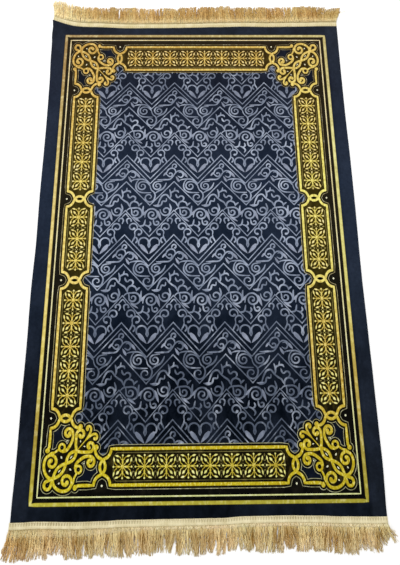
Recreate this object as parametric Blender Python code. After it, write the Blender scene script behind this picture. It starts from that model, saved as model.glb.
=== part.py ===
# Prayer rug, laid flat: a velvet rug with a fringe trim sewn to each end.
# Metres, +Z up. X runs across the rug and Y along it. The rug rests on Z = 0, and the
# origin is under the middle of its box.

import math
import random
from collections import namedtuple

import bmesh
import bpy
from mathutils import Matrix, Vector

# Driving dimensions
RUG_WIDTH = 0.700
RUG_LENGTH = 1.100
RUG_THICKNESS = 0.003
EDGE_ROUND = 0.0009
COLUMNS = 16
ROWS = 24
SEWN_GAP = 0.0003
CLOSE_ENOUGH = 0.0001
RIM_ANGLE = math.radians(60)
SHARP_ANGLE = math.radians(35)

# The corner at the left of the far end curls up off the floor.
CURL_HEIGHT = 0.018
CURL_REACH = 0.075
CURL_CUTS = 2

# The heading's section: how far out from the rug's end, and how high, from its lower
# inner corner over two soft ribs to its lower outer corner
HEADING_WIDTH = 0.020
SectionPoint = namedtuple("SectionPoint", "out high")
HEADING_SECTION = (
    SectionPoint(0.0, 0.0),
    SectionPoint(0.0010, 0.0026),
    SectionPoint(0.0115, 0.0019),
    SectionPoint(0.0155, 0.0026),
    SectionPoint(HEADING_WIDTH, 0.0018),
    SectionPoint(HEADING_WIDTH, 0.0),
)
HEADING_DROOP = 0.15

# Locks of yarn: the share of the pitch that a lock takes at its root, then its width
# and height at each step along it
LOCKS = 140
LOCK_SHARE = 0.76
LOCK_GAP = 0.0005
LockStep = namedtuple("LockStep", "along wide high")
LOCK_STEPS = (
    LockStep(0.28, 1.18, 0.0021),
    LockStep(0.66, 1.14, 0.0017),
    LockStep(1.00, 0.72, 0.0010),
)
LOCK_NARROWEST = 0.86
LEAN_EASE = 1.4
TIP_DROOP = 0.25

# Neighbouring locks sway to one side or the other together, in waves along the trim.
LOCK_SWAY = 0.0030
SwayWave = namedtuple("SwayWave", "turn share")
SWAY_WAVES = (SwayWave(61.0, 1.0), SwayWave(137.0, 0.7), SwayWave(263.0, 0.5))

# How far each edge stands out past the plain rectangle, at places along it
EdgeStation = namedtuple("EdgeStation", "along out")
LEFT_SIDE = (
    EdgeStation(-0.531, 0.0015),
    EdgeStation(-0.440, 0.0),
    EdgeStation(-0.340, 0.0005),
    EdgeStation(-0.230, -0.0005),
    EdgeStation(-0.115, 0.0005),
    EdgeStation(-0.010, -0.0015),
    EdgeStation(0.110, -0.0005),
    EdgeStation(0.270, -0.0015),
    EdgeStation(0.380, -0.0005),
    EdgeStation(0.470, 0.0020),
    EdgeStation(0.515, 0.0010),
    EdgeStation(0.541, -0.0025),
)
RIGHT_SIDE = (
    EdgeStation(-0.541, 0.0010),
    EdgeStation(-0.455, 0.0030),
    EdgeStation(-0.400, 0.0025),
    EdgeStation(-0.300, 0.0020),
    EdgeStation(-0.190, 0.0010),
    EdgeStation(-0.090, 0.0),
    EdgeStation(0.110, 0.0015),
    EdgeStation(0.190, 0.0015),
    EdgeStation(0.300, 0.0005),
    EdgeStation(0.400, 0.0005),
    EdgeStation(0.541, 0.0015),
)
NEAR_END = (
    EdgeStation(-0.347, 0.0030),
    EdgeStation(-0.300, 0.0015),
    EdgeStation(-0.230, 0.0030),
    EdgeStation(-0.175, 0.0020),
    EdgeStation(-0.150, 0.0005),
    EdgeStation(0.040, -0.0005),
    EdgeStation(0.085, -0.0030),
    EdgeStation(0.160, -0.0035),
    EdgeStation(0.220, -0.0025),
    EdgeStation(0.265, -0.0005),
    EdgeStation(0.330, 0.0005),
)
FAR_END = (
    EdgeStation(-0.343, 0.0040),
    EdgeStation(-0.300, 0.0025),
    EdgeStation(-0.250, 0.0010),
    EdgeStation(-0.165, -0.0025),
    EdgeStation(-0.080, -0.0020),
    EdgeStation(0.0, -0.0005),
    EdgeStation(0.045, 0.0010),
    EdgeStation(0.120, 0.0025),
    EdgeStation(0.180, 0.0015),
    EdgeStation(0.250, 0.0025),
    EdgeStation(0.330, 0.0040),
)

# How far the longest locks reach past the plain rectangle's ends, at places across it
NEAR_TIPS = (
    EdgeStation(-0.345, 0.0710),
    EdgeStation(-0.300, 0.0675),
    EdgeStation(-0.225, 0.0685),
    EdgeStation(-0.150, 0.0660),
    EdgeStation(-0.085, 0.0630),
    EdgeStation(0.0, 0.0655),
    EdgeStation(0.070, 0.0630),
    EdgeStation(0.140, 0.0615),
    EdgeStation(0.200, 0.0610),
    EdgeStation(0.260, 0.0650),
    EdgeStation(0.305, 0.0655),
    EdgeStation(0.325, 0.0625),
    EdgeStation(0.350, 0.0500),
)
FAR_TIPS = (
    EdgeStation(-0.345, 0.0710),
    EdgeStation(-0.318, 0.0690),
    EdgeStation(-0.300, 0.0625),
    EdgeStation(-0.270, 0.0600),
    EdgeStation(-0.220, 0.0650),
    EdgeStation(-0.140, 0.0625),
    EdgeStation(-0.050, 0.0630),
    EdgeStation(0.0, 0.0655),
    EdgeStation(0.080, 0.0680),
    EdgeStation(0.150, 0.0655),
    EdgeStation(0.220, 0.0650),
    EdgeStation(0.285, 0.0690),
    EdgeStation(0.335, 0.0640),
)

# A trim lies at the near (-1) or the far (1) end. Its heading runs from left to right,
# its outer locks splay out past it, and its tips vary by up to ragged.
Trim = namedtuple("Trim", "name end left right splay_left splay_right ragged tips seed")
TRIMS = (
    Trim("fringe_near", -1, -0.3530, 0.3515, 0.0095, 0.0130, 0.0045, NEAR_TIPS, 11),
    Trim("fringe_far", 1, -0.3455, 0.3515, 0.0080, 0.0110, 0.0035, FAR_TIPS, 23),
)
SPLAY_REACH = 0.045

VELVET_NAVY = (0.010, 0.016, 0.038)
YARN_GOLD = (0.58, 0.40, 0.17)


def remove_scene_objects():
    for obj in list(bpy.data.objects):
        bpy.data.objects.remove(obj, do_unlink=True)


def make_material(name, colour, roughness):
    material = bpy.data.materials.new(name)
    material.use_nodes = True
    shader = material.node_tree.nodes["Principled BSDF"]
    shader.inputs["Base Color"].default_value = (*colour, 1.0)
    shader.inputs["Roughness"].default_value = roughness
    shader.inputs["Metallic"].default_value = 0.0
    return material


def add_object(name, bm, material, collection):
    bmesh.ops.recalc_face_normals(bm, faces=bm.faces)
    mesh = bpy.data.meshes.new(name)
    bm.to_mesh(mesh)
    bm.free()
    mesh.shade_smooth()
    mesh.set_sharp_from_angle(angle=SHARP_ANGLE)
    mesh.materials.append(material)
    obj = bpy.data.objects.new(name, mesh)
    collection.objects.link(obj)
    return obj


def eased(stations, along):
    """How far out an edge stands at a place along it, eased between its stations."""
    if along <= stations[0].along:
        return stations[0].out
    for before, after in zip(stations, stations[1:]):
        if along <= after.along:
            share = (along - before.along) / (after.along - before.along)
            ease = share * share * (3.0 - 2.0 * share)
            return before.out + (after.out - before.out) * ease
    return stations[-1].out


def curl(x, y):
    """Height of the rug's underside over the floor. It is 0 but at the curled corner."""
    from_corner = (x + RUG_WIDTH / 2) + (RUG_LENGTH / 2 - y)
    share = min(1.0, max(0.0, 1.0 - from_corner / CURL_REACH))
    return CURL_HEIGHT * share * share


def to_uneven_outline(bm):
    """Moves the plain rectangle's edges out or in to the real outline."""
    for vert in bm.verts:
        x, y = vert.co.x, vert.co.y
        side = LEFT_SIDE if x < 0 else RIGHT_SIDE
        end = NEAR_END if y < 0 else FAR_END
        across = 2 * x / RUG_WIDTH
        along = 2 * y / RUG_LENGTH
        vert.co.x += eased(side, y) * across * abs(across)
        vert.co.y += eased(end, x) * along * abs(along) ** 3


def rug_plan():
    """The rug's plan as an open grid, finer where the corner curls."""
    bm = bmesh.new()
    bmesh.ops.create_grid(bm, x_segments=COLUMNS, y_segments=ROWS, size=0.5)
    bmesh.ops.scale(bm, vec=(RUG_WIDTH, RUG_LENGTH, 1.0), verts=bm.verts)
    reach = CURL_REACH + RUG_WIDTH / COLUMNS / 2
    in_curl = {
        vert
        for vert in bm.verts
        if vert.co.x + RUG_WIDTH / 2 < reach and RUG_LENGTH / 2 - vert.co.y < reach
    }
    edges = [edge for edge in bm.edges if in_curl.issuperset(edge.verts)]
    bmesh.ops.subdivide_edges(bm, edges=edges, cuts=CURL_CUTS, use_grid_fill=True)
    to_uneven_outline(bm)
    return bm


def end_line(end):
    """The corners of the rug's outline along one end, from left to right."""
    plan = rug_plan()
    inside = RUG_LENGTH / 2 - RUG_LENGTH / ROWS / (CURL_CUTS + 2)
    points = [
        vert.co.copy()
        for vert in plan.verts
        if vert.is_boundary and vert.co.y * end > inside
    ]
    plan.free()
    return sorted(points, key=lambda point: point.x)


def line_y(points, x):
    """The Y of an end line at a place across the rug."""
    for before, after in zip(points, points[1:]):
        if x <= after.x:
            share = max(0.0, (x - before.x) / (after.x - before.x))
            return before.y + (after.y - before.y) * share
    return points[-1].y


def make_rug_body(material, collection):
    """The velvet, with its hemmed edge rounded over."""
    bm = rug_plan()
    raised = bmesh.ops.extrude_face_region(bm, geom=bm.faces[:])["geom"]
    top = [item for item in raised if isinstance(item, bmesh.types.BMVert)]
    bmesh.ops.translate(bm, vec=(0.0, 0.0, RUG_THICKNESS), verts=top)
    bmesh.ops.recalc_face_normals(bm, faces=bm.faces)
    rim = [
        edge
        for edge in bm.edges
        if edge.calc_face_angle() > RIM_ANGLE
        and abs(edge.verts[0].co.z - edge.verts[1].co.z) < RUG_THICKNESS / 2
    ]
    bmesh.ops.bevel(
        bm,
        geom=rim,
        offset=EDGE_ROUND,
        segments=2,
        profile=0.5,
        affect="EDGES",
        material=-1,
    )
    for vert in bm.verts:
        vert.co.z += curl(vert.co.x, vert.co.y)
    return add_object("rug_body", bm, material, collection)


def lock_sides(trim):
    """Where each lock's root starts and stops across the rug."""
    pitch = (trim.right - trim.left) / LOCKS
    half = pitch * LOCK_SHARE / 2
    middles = [trim.left + pitch * (number + 0.5) for number in range(LOCKS)]
    return [(middle - half, middle + half) for middle in middles]


def heading_mesh(trim, line):
    """The heading: a six-sided bar whose section is moved along the rug's end."""
    stops = [trim.left]
    for sides in lock_sides(trim):
        stops.extend(sides)
    stops.append(trim.right)

    bm = bmesh.new()
    bmesh.ops.create_cone(
        bm,
        cap_ends=True,
        segments=len(HEADING_SECTION),
        radius1=1.0,
        radius2=1.0,
        depth=1.0,
        matrix=Matrix.Rotation(math.radians(90), 4, "Y"),
    )
    long_edges = [
        edge for edge in bm.edges if abs(edge.verts[0].co.x - edge.verts[1].co.x) > 0.5
    ]
    bmesh.ops.subdivide_edges(bm, edges=long_edges, cuts=len(stops) - 2)

    turn = 2 * math.pi / len(HEADING_SECTION)
    for vert in bm.verts:
        stop = round((vert.co.x + 0.5) * (len(stops) - 1))
        corner = round(math.atan2(vert.co.z, vert.co.y) / turn) % len(HEADING_SECTION)
        point = HEADING_SECTION[corner]
        x = stops[stop]
        edge_y = line_y(line, x)
        droop = 1.0 - HEADING_DROOP * point.out / HEADING_WIDTH
        vert.co = Vector(
            (
                x,
                edge_y + trim.end * (SEWN_GAP + point.out),
                curl(x, edge_y) * droop + point.high,
            )
        )
    return bm


def lock_leans(trim, roots):
    """How far each lock's tip lies to the side of its root."""
    rng = random.Random(trim.seed)
    phases = [rng.uniform(0.0, 2 * math.pi) for _ in SWAY_WAVES]
    leans = []
    for root in roots:
        from_left = max(0.0, 1.0 - (root - trim.left) / SPLAY_REACH)
        from_right = max(0.0, 1.0 - (trim.right - root) / SPLAY_REACH)
        sway = sum(
            wave.share * math.sin(root * wave.turn + phase)
            for wave, phase in zip(SWAY_WAVES, phases)
        )
        calm = 1.0 - max(from_left, from_right)
        leans.append(
            LOCK_SWAY * sway * calm
            - trim.splay_left * from_left
            + trim.splay_right * from_right
        )
    return leans


def kept_apart(middles, widths):
    """Pushes the locks' middles apart, out from the trim's middle, to leave the gap."""
    half = len(middles) // 2
    for number in range(half, len(middles)):
        room = (widths[number] + widths[number - 1]) / 2 + LOCK_GAP
        middles[number] = max(middles[number], middles[number - 1] + room)
    for number in range(half - 1, -1, -1):
        room = (widths[number] + widths[number + 1]) / 2 + LOCK_GAP
        middles[number] = min(middles[number], middles[number + 1] - room)
    return middles


def add_locks(bm, trim, line):
    """Draws each lock out of the heading's outer side, in steps along the floor.

    The locks of the curled corner stay up with it.
    """
    rng = random.Random(trim.seed + 1)
    sides = lock_sides(trim)
    roots = [(left + right) / 2 for left, right in sides]
    leans = lock_leans(trim, roots)
    lengths = [
        RUG_LENGTH / 2 + eased(trim.tips, root) - trim.ragged * rng.random() ** 2
        for root in roots
    ]
    root_width = sides[0][1] - sides[0][0]
    widths = [root_width * rng.uniform(LOCK_NARROWEST, 1.0) for _ in roots]

    outer = sorted(
        (
            face
            for face in bm.faces
            if len(face.verts) == 4
            and all(
                abs(vert.co.y - line_y(line, vert.co.x)) > HEADING_WIDTH - CLOSE_ENOUGH
                for vert in face.verts
            )
        ),
        key=lambda face: face.calc_center_median().x,
    )
    faces = outer[1::2]
    for step in LOCK_STEPS:
        faces = bmesh.ops.extrude_discrete_faces(bm, faces=faces)["faces"]
        faces = sorted(faces, key=lambda face: face.calc_center_median().x)
        wide = [width * step.wide for width in widths]
        middles = [
            root + lean * step.along**LEAN_EASE for root, lean in zip(roots, leans)
        ]
        middles = kept_apart(middles, wide)
        for number, face in enumerate(faces):
            root_y = line_y(line, roots[number]) + trim.end * (SEWN_GAP + HEADING_WIDTH)
            tip_y = trim.end * lengths[number]
            y = root_y + (tip_y - root_y) * step.along
            lift = curl(roots[number], line_y(line, roots[number]))
            floor = lift * (1.0 - HEADING_DROOP) * (1.0 - TIP_DROOP * step.along)
            by_side = sorted(face.verts, key=lambda vert: vert.co.x)
            for side, pair in ((-0.5, by_side[:2]), (0.5, by_side[2:])):
                low, top = sorted(pair, key=lambda vert: vert.co.z)
                x = middles[number] + side * wide[number]
                low.co = Vector((x, y, floor))
                top.co = Vector((x, y, floor + step.high))


def make_trim(trim, material, collection):
    line = end_line(trim.end)
    bm = heading_mesh(trim, line)
    add_locks(bm, trim, line)
    return add_object(trim.name, bm, material, collection)


def stand_on_origin(pieces, root):
    """Puts the middle of the pieces' box over the origin."""
    corners = [vert.co for piece in pieces for vert in piece.data.vertices]
    for axis in (0, 1):
        values = [corner[axis] for corner in corners]
        root.location[axis] = -(min(values) + max(values)) / 2


def build():
    remove_scene_objects()
    collection = bpy.data.collections.new("prayer_rug")
    bpy.context.scene.collection.children.link(collection)
    root = bpy.data.objects.new("prayer_rug_root", None)
    collection.objects.link(root)

    velvet = make_material("navy_velvet", VELVET_NAVY, 0.9)
    yarn = make_material("gold_yarn", YARN_GOLD, 0.75)
    pieces = [make_rug_body(velvet, collection)]
    pieces += [make_trim(trim, yarn, collection) for trim in TRIMS]
    for piece in pieces:
        piece.parent = root
    stand_on_origin(pieces, root)


build()
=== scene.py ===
import math
import random

import bmesh
import bpy
from mathutils import Matrix, Vector, geometry, noise


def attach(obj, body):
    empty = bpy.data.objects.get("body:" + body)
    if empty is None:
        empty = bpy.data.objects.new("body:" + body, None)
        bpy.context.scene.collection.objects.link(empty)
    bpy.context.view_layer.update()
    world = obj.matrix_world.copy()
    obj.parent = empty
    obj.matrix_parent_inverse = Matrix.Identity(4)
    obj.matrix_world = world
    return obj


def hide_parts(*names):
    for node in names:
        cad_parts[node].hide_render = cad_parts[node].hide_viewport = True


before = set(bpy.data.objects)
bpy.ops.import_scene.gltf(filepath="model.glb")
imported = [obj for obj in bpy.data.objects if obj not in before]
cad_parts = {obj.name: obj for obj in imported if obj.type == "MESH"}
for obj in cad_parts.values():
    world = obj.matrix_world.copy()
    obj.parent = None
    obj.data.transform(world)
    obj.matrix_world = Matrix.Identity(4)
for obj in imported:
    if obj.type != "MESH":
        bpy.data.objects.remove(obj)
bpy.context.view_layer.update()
print("frame loaded")

# Sizes of the print are in millimetres from the middle of the pattern, with y towards the far end.
mm = 0.001

rugShape = {
    "width": 0.700,
    "length": 1.100,
    "thickness": 0.003,
    "curlHeight": 0.018,
    "curlReach": 0.075,
    "patternMiddle": (-0.00090, 0.00022),
    "waist": 0.0024,
}

# How far each edge stands out past the plain rectangle: place along it, then metres out
outline = {
    "leftSide": (
        (-0.531, 0.0015), (-0.440, 0.0), (-0.340, 0.0005), (-0.230, -0.0005), (-0.115, 0.0005),
        (-0.010, -0.0015), (0.110, -0.0005), (0.270, -0.0015), (0.380, -0.0005), (0.470, 0.0020),
        (0.515, 0.0010), (0.541, -0.0025),
    ),
    "rightSide": (
        (-0.541, 0.0010), (-0.455, 0.0030), (-0.400, 0.0025), (-0.300, 0.0020), (-0.190, 0.0010),
        (-0.090, 0.0), (0.110, 0.0015), (0.190, 0.0015), (0.300, 0.0005), (0.400, 0.0005),
        (0.541, 0.0015),
    ),
    "nearEnd": (
        (-0.347, 0.0030), (-0.300, 0.0015), (-0.230, 0.0030), (-0.175, 0.0020), (-0.150, 0.0005),
        (0.040, -0.0005), (0.085, -0.0030), (0.160, -0.0035), (0.220, -0.0025), (0.265, -0.0005),
        (0.330, 0.0005),
    ),
    "farEnd": (
        (-0.343, 0.0040), (-0.300, 0.0025), (-0.250, 0.0010), (-0.165, -0.0025), (-0.080, -0.0020),
        (0.0, -0.0005), (0.045, 0.0010), (0.120, 0.0025), (0.180, 0.0015), (0.250, 0.0025),
        (0.330, 0.0040),
    ),
}


def eased(stations, along):
    if along <= stations[0][0]:
        return stations[0][1]
    for before, after in zip(stations, stations[1:]):
        if along <= after[0]:
            share = (along - before[0]) / (after[0] - before[0])
            return before[1] + (after[1] - before[1]) * share * share * (3.0 - 2.0 * share)
    return stations[-1][1]


def curl(x, y):
    fromCorner = (x + rugShape["width"] / 2) + (rugShape["length"] / 2 - y)
    share = min(1.0, max(0.0, 1.0 - fromCorner / rugShape["curlReach"]))
    return rugShape["curlHeight"] * share * share


def endEdge(end, x):
    side = outline["nearEnd"] if end < 0 else outline["farEnd"]
    return end * (rugShape["length"] / 2 + eased(side, x))


def toRow(x, y, z):
    # From the rug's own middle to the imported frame
    middle = rugShape["patternMiddle"]
    return Vector((x + middle[0], y + middle[1], z))


def rgba(colour):
    linear = [c / 255.0 / 12.92 if c <= 10 else ((c / 255.0 + 0.055) / 1.055) ** 2.4 for c in colour]
    return (*linear, 1.0)


# Shader helpers


def put(tree, kind, inputs, **settings):
    # A new node with its sockets set or linked; gives its outputs
    made = tree.nodes.new("ShaderNode" + kind)
    for key, value in settings.items():
        setattr(made, key, value)
    for key, value in inputs.items():
        if isinstance(value, bpy.types.NodeSocket):
            tree.links.new(value, made.inputs[key])
        else:
            made.inputs[key].default_value = value
    return made.outputs


def ramp(tree, source, stops):
    colour = put(tree, "ValToRGB", {"Fac": source})["Color"]
    elements = colour.node.color_ramp.elements
    while len(elements) < len(stops):
        elements.new(0.5)
    for element, (place, tone) in zip(elements, stops):
        element.position = place
        element.color = rgba(tone)
    return colour


def mix(tree, factor, first, second, blend="MIX"):
    return put(tree, "Mix", {0: factor, 6: first, 7: second}, data_type="RGBA", blend_type=blend)[2]


def spread(tree, source, start, end, most=1.0):
    # 0 at start and most at end, level beyond both
    return put(tree, "MapRange", {"Value": source, "From Min": start, "From Max": end, "To Max": most})[0]


def cloud(tree, place, size, detail, roughness=0.5):
    settings = {"Vector": place, "Scale": size, "Detail": detail, "Roughness": roughness}
    return put(tree, "TexNoise", settings)["Fac"]


def overRug(tree, axis):
    # 0 at the near end or the left side of the rug, and 1 at the far end or the right side
    place = put(tree, "TexCoord", {})["Object"]
    half = rugShape["width" if axis == "X" else "length"] / 2
    return spread(tree, put(tree, "SeparateXYZ", {"Vector": place})[axis], -half, half)


def openGroup(name, inputs):
    group = bpy.data.node_groups.new(name, "ShaderNodeTree")
    for label, value in inputs.items():
        socket = group.interface.new_socket(label, in_out="INPUT", socket_type="NodeSocketFloat")
        socket.default_value = value
    return group, group.nodes.new("NodeGroupInput").outputs


def closeGroup(group, results):
    for label in results:
        group.interface.new_socket(label, in_out="OUTPUT", socket_type="NodeSocketFloat")
    end = group.nodes.new("NodeGroupOutput")
    for label, value in results.items():
        group.links.new(value, end.inputs[label])
    return group


napLook = {
    "brushSize": 9.0,
    "pileSize": 900.0,
    "stretch": (1.0, 0.55, 1.0),
    "brush": (5.0, 0.62),
    "clear": (0.34, 0.68),
    "speckSize": 190.0,
    "speck": (4.0, 0.7),
}


def makePileGroup():
    # Brush: 0 to 1, how the nap lies. Height: the fine pile. Speck: small changes of tone.
    look = napLook
    group, given = openGroup("pileNap", {"Brush Size": look["brushSize"], "Pile Size": look["pileSize"]})
    place = put(group, "TexCoord", {})["Object"]
    drawn = put(group, "Mapping", {"Vector": place, "Scale": look["stretch"]})[0]
    brush = cloud(group, drawn, given["Brush Size"], *look["brush"])
    results = {
        "Brush": spread(group, brush, *look["clear"]),
        "Height": cloud(group, place, given["Pile Size"], 2.0),
        "Speck": cloud(group, place, look["speckSize"], *look["speck"]),
    }
    return closeGroup(group, results)


def makeWeaveGroup():
    # Ribs along x and picks along y, as on braid and backing cloth
    group, given = openGroup("clothWeave", {"Rib Size": 400.0, "Pick Size": 400.0})
    split = put(group, "SeparateXYZ", {"Vector": put(group, "TexCoord", {})["Object"]})
    waves = []
    for axis, size in (("X", "Rib Size"), ("Y", "Pick Size")):
        turned = put(group, "Math", {0: split[axis], 1: given[size]}, operation="MULTIPLY")[0]
        waves.append(put(group, "Math", {0: turned}, operation="SINE")[0])
    both = put(group, "Math", {0: waves[0], 1: waves[1]}, operation="MULTIPLY")[0]
    return closeGroup(group, {"Height": spread(group, both, -1.0, 1.0)})


pileGroup = makePileGroup()
weaveGroup = makeWeaveGroup()


def napOn(tree, brushSize):
    return put(tree, "Group", {"Brush Size": brushSize}, node_tree=pileGroup)


def weaveOn(tree, ribs, picks):
    return put(tree, "Group", {"Rib Size": ribs, "Pick Size": picks}, node_tree=weaveGroup)["Height"]


def maskOn(tree, name):
    return put(tree, "Attribute", {}, attribute_name=name)["Fac"]


clothShine = {"specular": 0.03, "sheenRoughness": 0.4}


def newMaterial(name, roughness, sheen=0.0, sheenTint=(255, 255, 255)):
    material = bpy.data.materials.new(name)
    material.use_nodes = True
    shader = material.node_tree.nodes["Principled BSDF"].inputs
    shader["Roughness"].default_value = roughness
    shader["Specular IOR Level"].default_value = clothShine["specular"]
    shader["Sheen Weight"].default_value = sheen
    shader["Sheen Roughness"].default_value = clothShine["sheenRoughness"]
    shader["Sheen Tint"].default_value = rgba(sheenTint)
    return material, material.node_tree


def dress(material, colour, height=None, strength=0.3, depth=0.0004):
    # Puts the colour on the material's shader, and the height as a bump
    tree = material.node_tree
    shader = tree.nodes["Principled BSDF"].inputs
    tree.links.new(colour, shader["Base Color"])
    if height:
        bump = put(tree, "Bump", {"Height": height, "Strength": strength, "Distance": depth})
        tree.links.new(bump["Normal"], shader["Normal"])
    return material


velvetLook = {
    # the tone along the rug, near end to far end: partly painted light and shade, darkest at the near end
    # and lighter from the middle on
    "along": (
        (0.0, (2, 5, 9)), (0.22, (2, 6, 14)), (0.42, (12, 21, 34)), (0.62, (21, 30, 45)),
        (0.85, (16, 20, 31)), (1.0, (24, 27, 34)),
    ),
    # along the edges: where each starts and ends over the rug, its share and its tone; the strip at the
    # near end is darkened with painted shade, the side strips are lightened
    "margins": (
        ("Y", 0.024, 0.018, 0.4, (4, 8, 14)),
        ("X", 0.044, 0.034, 0.08, (60, 68, 84)),
        ("X", 0.956, 0.966, 0.12, (60, 68, 82)),
    ),
    "brushedAndSheen": (44, 53, 70),
    # the brushed patches, lighter partly as painted sheen: their scale, higher for finer ones, and how much
    # they show
    "patches": ((9.0, 0.28), (70.0, 0.14)),
    "speck": 0.5,
    "pile": 0.35,
    "roughness": 0.9,
    "sheen": 0.02,
    "sheenTint": (120, 140, 190),
}


def makeVelvet():
    look = velvetLook
    material, tree = newMaterial("navyVelvet", look["roughness"], look["sheen"], look["sheenTint"])
    over = {axis: overRug(tree, axis) for axis in "XY"}
    # painted light and shade along the rug, over the velvet's own navy
    colour = ramp(tree, over["Y"], look["along"])
    # lighter patches of the brushed nap, partly painted sheen
    for size, share in look["patches"]:
        amount = spread(tree, napOn(tree, size)["Brush"], 0.3, 1.0, share)
        colour = mix(tree, amount, colour, rgba(look["brushedAndSheen"]))
    # the near end's strip darkened with painted shade; the side strips lightened
    for axis, inner, outer, share, tone in look["margins"]:
        colour = mix(tree, spread(tree, over[axis], inner, outer, share), colour, rgba(tone))
    nap = napOn(tree, napLook["brushSize"])
    colour = mix(tree, look["speck"], colour, nap["Speck"], "OVERLAY")
    return dress(material, colour, nap["Height"], look["pile"])


printCloth = {"roughness": 0.75, "speck": 0.4}


def makePrint(name, stops, brushedAndSheen, shaded, share=0.4, rim=None, grain=45.0, right=None):
    # Coloured pile: a ramp along the rug, or one for each side, partly painted light and shade, brushed
    # lighter and darker in patches of painted sheen and painted shade, with darker rims of painted shade
    material, tree = newMaterial(name, printCloth["roughness"])
    nap = napOn(tree, grain)
    along = overRug(tree, "Y")
    # the print's colour along and across the rug, with painted light and shade in it
    colour = ramp(tree, along, stops)
    if right:
        colour = mix(tree, overRug(tree, "X"), colour, ramp(tree, along, right))
    # lighter patches of painted sheen and darker ones of painted shade, as the pile is brushed
    for end, tone in ((1.0, brushedAndSheen), (0.0, shaded)):
        colour = mix(tree, spread(tree, nap["Brush"], 0.5, end, share), colour, rgba(tone))
    colour = mix(tree, printCloth["speck"], colour, nap["Speck"], "OVERLAY")
    # the rims of domed strokes, darkened with painted shade
    if rim:
        colour = mix(tree, maskOn(tree, "rim"), colour, rgba(rim))
    return dress(material, colour, nap["Height"])


backingLook = {
    "threads": 2600.0,
    "worn": ((52, 54, 60), (66, 68, 74)),
    "raised": (40, 42, 48),
    "wearSize": 6.0,
    "roughness": 0.9,
    "bump": (0.5, 0.0005),
}


def makeBacking():
    material, tree = newMaterial("backingCloth", backingLook["roughness"])
    weave = weaveOn(tree, backingLook["threads"], backingLook["threads"])
    wear = napOn(tree, backingLook["wearSize"])["Brush"]
    worn = mix(tree, wear, *[rgba(tone) for tone in backingLook["worn"]])
    colour = mix(tree, weave, worn, rgba(backingLook["raised"]))
    return dress(material, colour, weave, *backingLook["bump"])


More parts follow.
